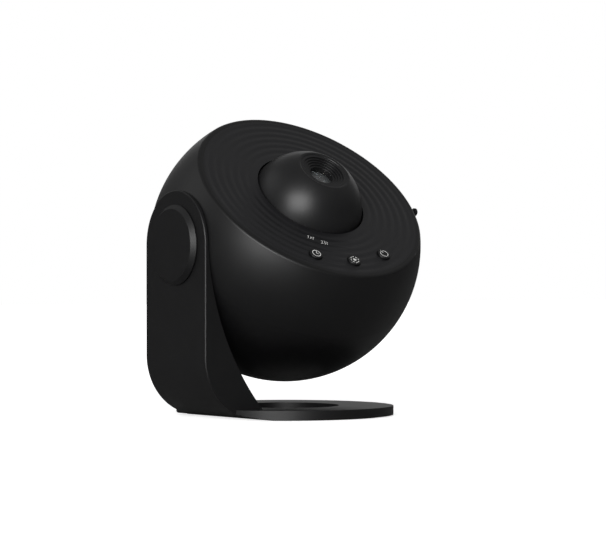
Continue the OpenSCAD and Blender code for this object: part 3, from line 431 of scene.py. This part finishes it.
# Known flaw: the outline goes in backwards, which turns the faces of this mesh inward
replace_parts(turned("dome_moulding", outline[::-1], "dome_unit", "dome_black"), "dome")


# Studio

# Directions of the photograph's view, and the point that the lamps face
TO_CAMERA = Vector((-0.575, -0.818, 0.0))
RIGHT = Vector((0.818, -0.575, 0.0))
UP = Vector((0.0, 0.0, 1.0))
MIDDLE = Vector((0.0, 0.0, 0.08))


def lamp(name, place, width, height, power):
    """A soft box at a place, turned towards the middle of the object."""
    data = bpy.data.lights.new(name, "AREA")
    data.shape = "RECTANGLE"
    data.size = width
    data.size_y = height
    data.energy = power
    made = bpy.data.objects.new(name, data)
    made.location = place
    made.rotation_euler = (MIDDLE - place).to_track_quat("-Z", "Y").to_euler()
    bpy.context.scene.collection.objects.link(made)


def seen_white(name, pale, dull):
    """A matt studio floor that stays pale to the camera, where only the object's shadow shows,
    and duller to the object, so that its underside keeps dark. Its own glow grows from 0.15 m
    to 0.6 m from the middle, which carries it over into the white air behind."""
    made, tree, surface, place = finish_of(name)
    fleck = add(tree, "ShaderNodeTexNoise", {"Scale": 60.0, "Detail": 2.0}, {"Vector": place})
    gloss = add(tree, "ShaderNodeMapRange", {"To Min": 0.85, "To Max": 0.95},
                {"Value": fleck.outputs["Fac"]})
    tree.links.new(gloss.outputs["Result"], surface.inputs["Roughness"])
    path = add(tree, "ShaderNodeLightPath")
    tone = add(tree, "ShaderNodeMix",
               {"data_type": "RGBA", "A_Color": linear(dull), "B_Color": linear(pale)},
               {"Factor_Float": path.outputs["Is Camera Ray"]})
    tree.links.new(tone.outputs[2], surface.inputs["Base Color"])
    away = add(tree, "ShaderNodeVectorMath", {"operation": "LENGTH"}, {"Vector": place})
    glow = add(tree, "ShaderNodeMapRange",
               {"From Min": 0.15, "From Max": 0.6, "To Min": 0.76, "To Max": 1.1},
               {"Value": away.outputs["Value"]})
    lift = add(tree, "ShaderNodeMath", {"operation": "MULTIPLY"},
               {"Value": glow.outputs["Result"], "Value_001": path.outputs["Is Camera Ray"]})
    surface.inputs["Emission Color"].default_value = (1, 1, 1, 1)
    tree.links.new(lift.outputs["Value"], surface.inputs["Emission Strength"])
    return made


HALF = 4  # half the floor's side
floor_mesh = bpy.data.meshes.new("floor")
floor_mesh.from_pydata([(-HALF, -HALF, 0), (HALF, -HALF, 0), (HALF, HALF, 0), (-HALF, HALF, 0)],
                       [], [(0, 1, 2, 3)])
floor_mesh.materials.append(seen_white("matt_studio_floor", "#ececec", "#8c8c8c"))
floor = bpy.data.objects.new("floor", floor_mesh)
bpy.context.scene.collection.objects.link(floor)

# Distance towards the camera, to the right and up from the middle, then width, height and watts
for name, near, right, up, width, height, power in [
        ("front_soft_box", 1.7, -0.30, 0.42, 1.2, 1.0, 26.0),
        ("left_fill", -0.1, -1.7, 1.1, 1.5, 1.5, 3.0),
        ("back_fill", -1.8, 0.2, 0.8, 2.0, 1.0, 2.5)]:
    lamp(name, MIDDLE + TO_CAMERA * near + RIGHT * right + UP * up, width, height, power)

# The air of the studio: white to the camera, dim to the object and brighter overhead
world = bpy.data.worlds.new("studio_air")
world.use_nodes = True
tree = world.node_tree
tree.nodes.clear()
path = add(tree, "ShaderNodeLightPath")
split = add(tree, "ShaderNodeSeparateXYZ",
            links={"Vector": add(tree, "ShaderNodeTexCoord").outputs["Generated"]})
sky = add(tree, "ShaderNodeMapRange",
          {"From Min": 0.0, "From Max": 0.4, "To Min": 0.05, "To Max": 0.22},
          {"Value": split.outputs["Z"]})
dim = add(tree, "ShaderNodeBackground", {"Color": (1, 1, 1, 1)},
          {"Strength": sky.outputs["Result"]})
white = add(tree, "ShaderNodeBackground", {"Color": (1, 1, 1, 1), "Strength": 1.0})
both = add(tree, "ShaderNodeMixShader", links={"Fac": path.outputs["Is Camera Ray"]})
tree.links.new(dim.outputs["Background"], both.inputs[1])
tree.links.new(white.outputs["Background"], both.inputs[2])
add(tree, "ShaderNodeOutputWorld", links={"Surface": both.outputs["Shader"]})
bpy.context.scene.world = world

# Camera: level with the ball, 1.45 m away, as the photograph's perspective asks. The focal
# length and the aim are in pixels of a picture of that width.
WIDTH_PX, FOCAL_PX = 606.0, 2620.0
SENSOR = 36.0
DISTANCE, HEIGHT = 1.44886, 0.080165
camera_data = bpy.data.cameras.new("camera")
camera_data.sensor_width = SENSOR
camera_data.lens = FOCAL_PX * SENSOR / WIDTH_PX
camera = bpy.data.objects.new("camera", camera_data)
camera.location = TO_CAMERA * DISTANCE + UP * HEIGHT
aim = -TO_CAMERA * 2619.95 + RIGHT * 18.05 - UP * 6.41
camera.rotation_euler = aim.to_track_quat("-Z", "Y").to_euler()
bpy.context.scene.collection.objects.link(camera)
bpy.context.scene.camera = camera
bpy.context.scene.view_settings.view_transform = "Standard"

bpy.context.view_layer.update()
